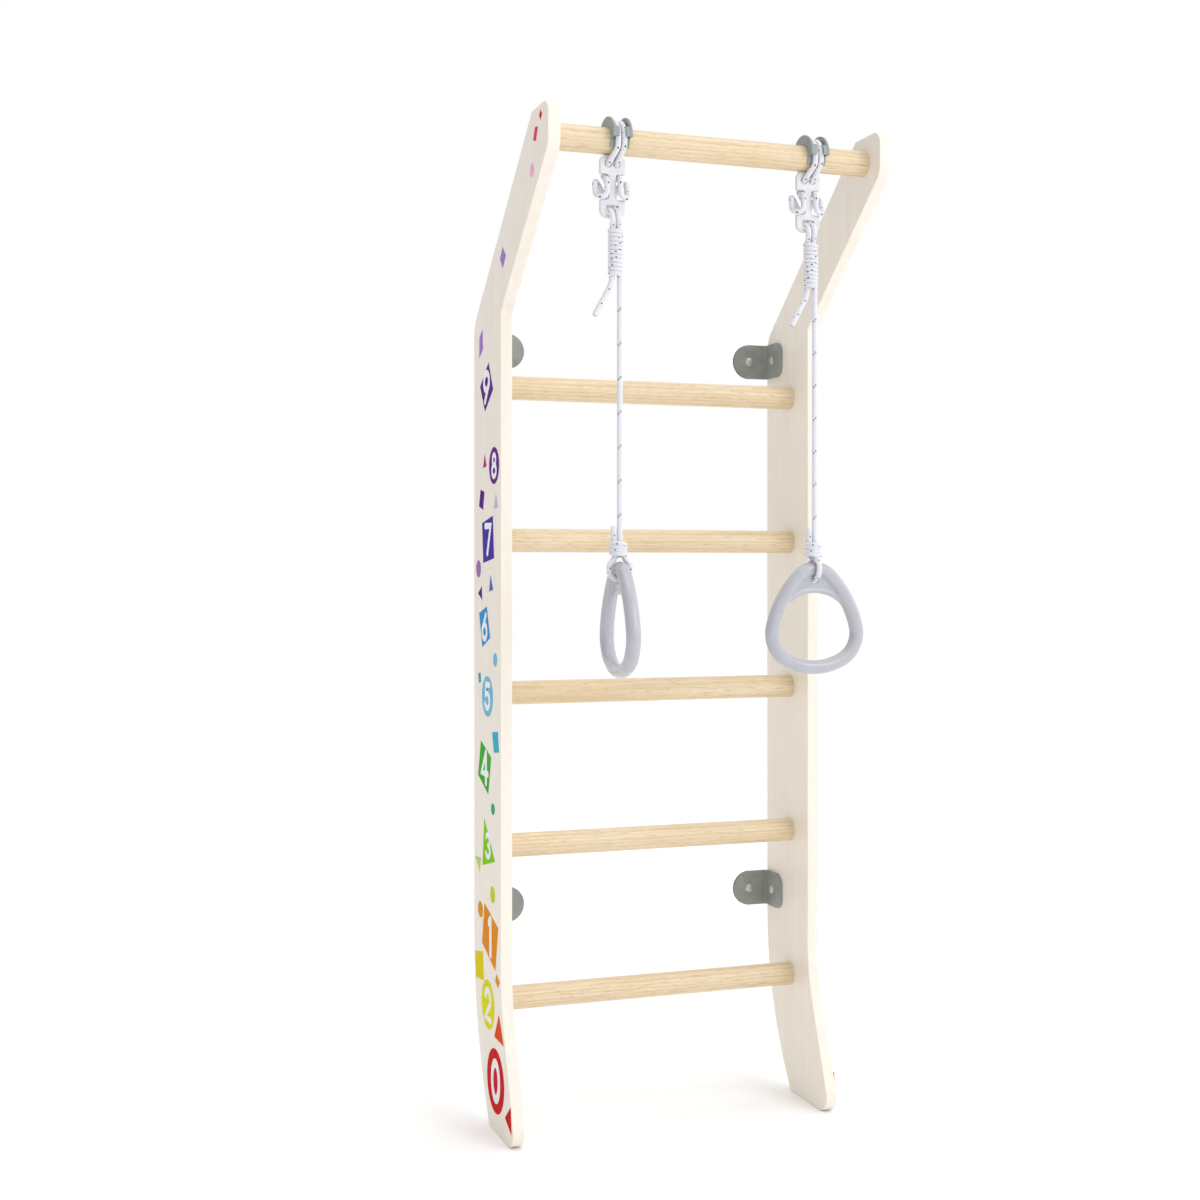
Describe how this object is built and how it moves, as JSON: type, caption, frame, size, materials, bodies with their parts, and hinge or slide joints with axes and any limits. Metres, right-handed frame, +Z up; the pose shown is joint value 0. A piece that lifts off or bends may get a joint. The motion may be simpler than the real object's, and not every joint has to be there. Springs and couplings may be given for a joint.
{
  "type": "climbing ladder with hand rings",
  "caption": "Wall-mounted wooden climbing ladder for children, with round rungs, a forward pull-up bar and hand rings hanging on adjustable ropes.",
  "frame": {"origin": "middle of the four wall screws, in the plane of the wall", "axes": "+X to the right as seen from the room, +Y into the wall, +Z up"},
  "size_m": [0.506, 0.4456, 1.432],
  "materials": {
    "ply": "cream-white lacquered plywood, satin",
    "dowel": "clear-lacquered pale pine, satin",
    "bracket": "grey powder coat, satin",
    "screw": "zinc-plated, satin",
    "saddle": "moulded grey plastic, matte",
    "rope": "braided white polypropylene with dark tracer flecks",
    "adjuster": "moulded white plastic, satin",
    "ring": "moulded grey-lilac plastic, soft gloss"
  },
  "bodies": {
    "frame": {"left_upright": "ply", "right_upright": "ply", "top_bar": "dowel", "rung_1": "dowel", "rung_2": "dowel", "rung_3": "dowel", "rung_4": "dowel", "rung_5": "dowel", "lower_left_bracket": "bracket", "lower_right_bracket": "bracket", "upper_left_bracket": "bracket", "upper_right_bracket": "bracket", "side_screws": "screw", "wall_screws": "screw"},
    "left_saddle": {"left_saddle": "saddle"},
    "left_sling": {"left_sling": "rope", "left_adjuster": "adjuster", "left_upper_knot": "rope", "left_tail": "rope"},
    "left_rope": {"left_drop_rope": "rope"},
    "left_eye": {"left_lower_knot": "rope", "left_short_tail": "rope", "left_eye": "rope"},
    "left_ring": {"left_ring": "ring"},
    "right_saddle": {"right_saddle": "saddle"},
    "right_sling": {"right_sling": "rope", "right_adjuster": "adjuster", "right_upper_knot": "rope", "right_tail": "rope"},
    "right_rope": {"right_drop_rope": "rope"},
    "right_eye": {"right_lower_knot": "rope", "right_short_tail": "rope", "right_eye": "rope"},
    "right_ring": {"right_ring": "ring"}
  },
  "joints": [
    {"name": "left_slide", "type": "slide", "parent": "frame", "child": "left_saddle", "axis": [1, 0, 0], "range_m": [-0.06, 0.05]},
    {"name": "left_swing", "type": "hinge", "parent": "left_saddle", "child": "left_sling", "pos_m": [-0.142, -0.325, 0.668], "axis": [-1, 0, 0], "range_deg": [-12, 33]},
    {"name": "left_sway", "type": "hinge", "parent": "left_sling", "child": "left_rope", "pos_m": [-0.1358, -0.325, 0.487], "axis": [0, 1, 0], "range_deg": [-8, 8]},
    {"name": "left_twist", "type": "hinge", "parent": "left_rope", "child": "left_eye", "pos_m": [-0.1358, -0.325, 0.123], "axis": [0, 0, 1], "range_deg": [-90, 90]},
    {"name": "left_tilt", "type": "hinge", "parent": "left_eye", "child": "left_ring", "pos_m": [-0.1358, -0.325, 0.09], "axis": [0.0698, 0.9976, 0], "range_deg": [-40, 40]},
    {"name": "right_slide", "type": "slide", "parent": "frame", "child": "right_saddle", "axis": [1, 0, 0], "range_m": [-0.07, 0.055]},
    {"name": "right_swing", "type": "hinge", "parent": "right_saddle", "child": "right_sling", "pos_m": [0.151, -0.325, 0.668], "axis": [-1, 0, 0], "range_deg": [-12, 33]},
    {"name": "right_sway", "type": "hinge", "parent": "right_sling", "child": "right_rope", "pos_m": [0.1572, -0.325, 0.487], "axis": [0, 1, 0], "range_deg": [-8, 8]},
    {"name": "right_twist", "type": "hinge", "parent": "right_rope", "child": "right_eye", "pos_m": [0.1572, -0.325, 0.123], "axis": [0, 0, 1], "range_deg": [-90, 90]},
    {"name": "right_tilt", "type": "hinge", "parent": "right_eye", "child": "right_ring", "pos_m": [0.1572, -0.325, 0.09], "axis": [1, 0, 0], "range_deg": [-40, 40]}
  ]
}
